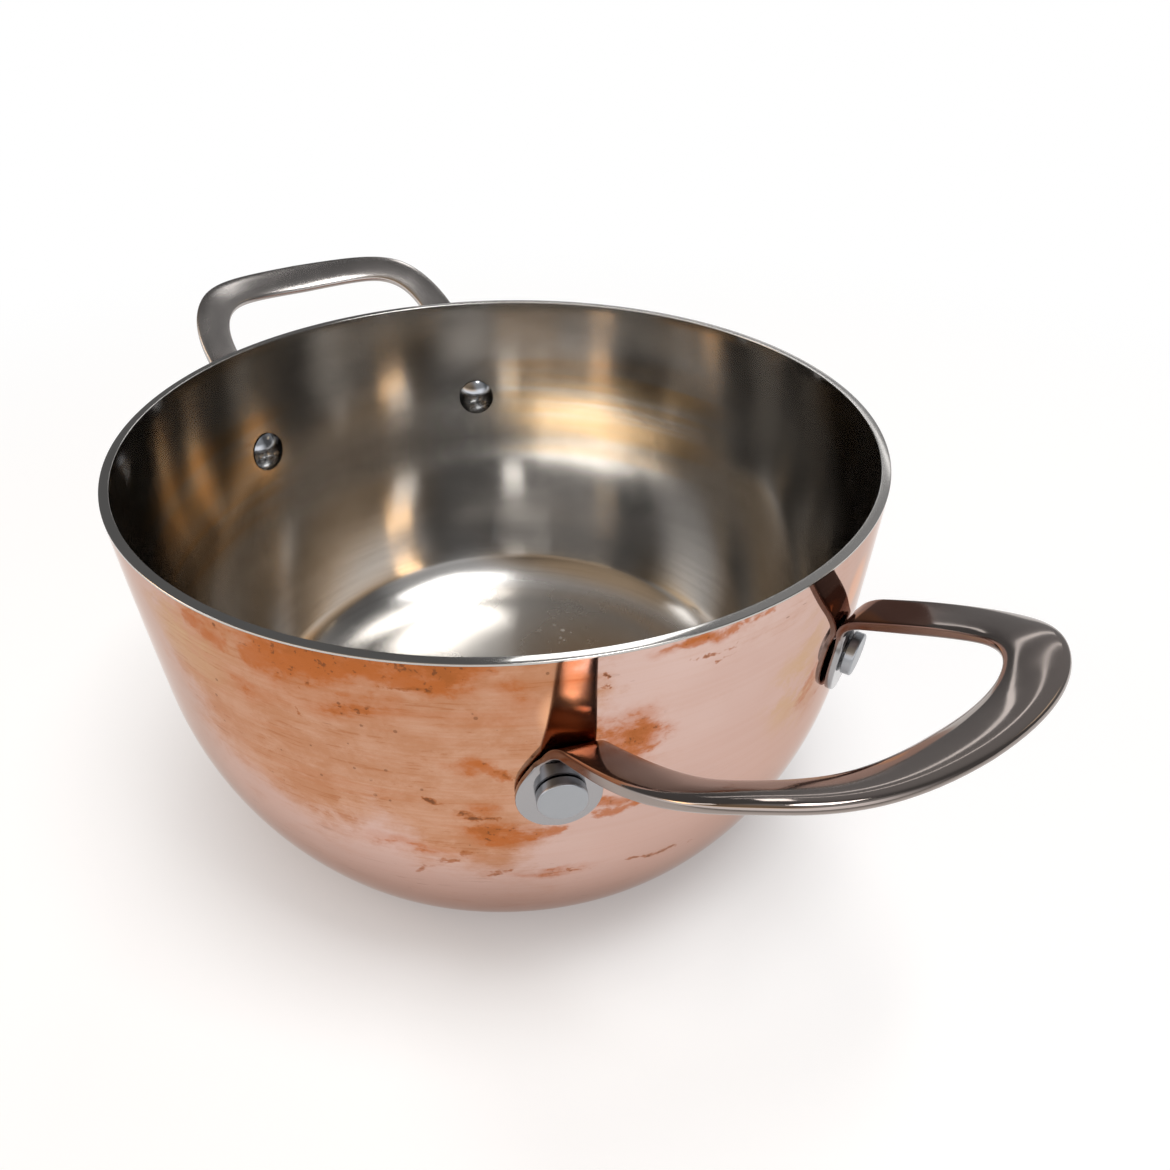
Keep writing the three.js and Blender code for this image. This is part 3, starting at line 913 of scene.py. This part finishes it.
def floor():
    """A pale floor that takes the pot's shadow, with a painted shadow where its glow is turned down round the
    pot; it turns white behind the pot and dims in front of it.
    """
    mesh = bpy.data.meshes.new("floor")
    s = FLOOR_HALF
    mesh.from_pydata([(-s, -s, 0), (s, -s, 0), (s, s, 0), (-s, s, 0)], [], [(0, 1, 2, 3)])
    obj = bpy.data.objects.new("floor", mesh)
    obj.location.z = -FLOOR_DROP
    bpy.context.scene.collection.objects.link(obj)
    m = bpy.data.materials.new("pale_floor")
    m.use_nodes = True
    g = Graph(m.node_tree)
    path = g.add("ShaderNodeLightPath").outputs
    seen = g.most([path["Is Camera Ray"], path["Is Glossy Ray"], path["Is Transmission Ray"]])
    behind = g.ramp(g.along(VIEW_LINE), *BEHIND)
    out_from_pot = g.vector("LENGTH", g.place, (0, 0, 0), "Value")
    # Painted shadow: the floor's glow is turned down close round the pot.
    clear = g.ramp(out_from_pot, *PAINTED_SHADOW_SPAN, PAINTED_SHADOW_GLOW, 1.0)
    level = g.math("MULTIPLY", clear, g.ramp(behind, 0, 1, FRONT_GLOW, FLOOR_GLOW))
    matt = g.add("ShaderNodeBsdfDiffuse")
    matt.inputs["Color"].default_value = FLOOR_GREY
    glow = g.add("ShaderNodeEmission")
    g.put(glow.inputs["Strength"], g.math("MULTIPLY", seen, level))
    lit = g.add("ShaderNodeAddShader")
    g.put(lit.inputs[0], matt.outputs[0])
    g.put(lit.inputs[1], glow.outputs[0])
    white = g.add("ShaderNodeEmission")
    fade = g.add("ShaderNodeMixShader")
    g.put(fade.inputs[0], g.product(g.ramp(out_from_pot, *TO_WHITE), behind, seen))
    g.put(fade.inputs[1], lit.outputs[0])
    g.put(fade.inputs[2], white.outputs[0])
    g.put(g.add("ShaderNodeOutputMaterial").inputs["Surface"], fade.outputs[0])
    mesh.materials.append(m)


# Lamps: direction in degrees round and up, distance, width and height in metres, radiance and colour.
MIDDLE = Vector((0, 0, 0.08))
WHITE = (1, 1, 1)
AMBER = (1, 0.66, 0.36)
CREAM = (1, 0.78, 0.52)
LAMPS = {
    "overhead": (32, 74, 1.0, 0.40, 0.40, 10.0, WHITE),
    "window": (143, 39, 1.8, 0.36, 0.50, 3.6, WHITE),
    "side_window": (226, 38, 2.0, 0.50, 0.50, 2.2, WHITE),
    "side_lamp": (228, 26, 2.0, 0.60, 0.30, 5.2, AMBER),
    "low_strip": (138, 15, 2.0, 1.30, 0.08, 1.5, WHITE),
    "high_strip": (136, 26, 2.0, 1.30, 0.06, 1.5, WHITE),
    "warm_panel": (74, 33, 2.0, 0.50, 0.20, 0.9, CREAM),
}


def toward(azimuth, elevation):
    a, e = radians(azimuth), radians(elevation)
    return Vector((cos(a) * cos(e), sin(a) * cos(e), sin(e)))


def softbox(name, azimuth, elevation, distance, width, height, radiance, colour):
    """A lamp panel facing the middle of the pot."""
    data = bpy.data.lights.new(name, "AREA")
    data.shape = "RECTANGLE"
    data.size, data.size_y = width, height
    data.energy = radiance * pi * width * height
    data.color = colour
    obj = bpy.data.objects.new(name, data)
    back = toward(azimuth, elevation)
    obj.location = MIDDLE + back * distance
    obj.rotation_mode = "QUATERNION"
    obj.rotation_quaternion = (-back).to_track_quat("-Z", "Y")
    obj.visible_camera = False
    bpy.context.scene.collection.objects.link(obj)


def room():
    """A plain dim room: a bright low band on one side, warm above, and pale patches elsewhere."""
    world = bpy.data.worlds.new("studio")
    bpy.context.scene.world = world
    world.use_nodes = True
    g = Graph(world.node_tree, "Generated")
    dim = 0.14
    neutral = (0.98, 0.98, 1.0, 1)
    warm = (1.0, 0.74, 0.50, 1)

    def patch(azimuth, elevation, edge, full, level):
        """Light from round one direction, between two angles from it in degrees."""
        return g.ramp(g.along(toward(azimuth, elevation)), cos(radians(edge)), cos(radians(full)), 0.0, level)

    band = g.math("MULTIPLY", g.ramp(g.axis("Z"), 0.56, 0.36), g.ramp(g.along(toward(-60, 0)), -0.2, 0.5))
    level = g.math("MULTIPLY_ADD", band, 1.5, dim)
    level = g.math("ADD", level, patch(276, 62, 42, 14, 0.27))
    level = g.math("ADD", level, patch(108, 20, 46, 14, 0.20))
    level = g.math("ADD", level, patch(2, 42, 32, 12, 0.34))
    warmth = g.math("MULTIPLY", g.ramp(g.axis("Z"), 0.30, 0.46), g.ramp(g.along(toward(270, 0)), 0.1, 0.6))
    sky = g.add("ShaderNodeBackground")
    g.put(sky.inputs["Color"], g.mix(warmth, neutral, warm))
    g.put(sky.inputs["Strength"], level)
    g.put(g.add("ShaderNodeOutputWorld").inputs["Surface"], sky.outputs[0])


floor()
for name, values in LAMPS.items():
    softbox(name, *values)
room()
bpy.context.scene.view_settings.view_transform = "Standard"
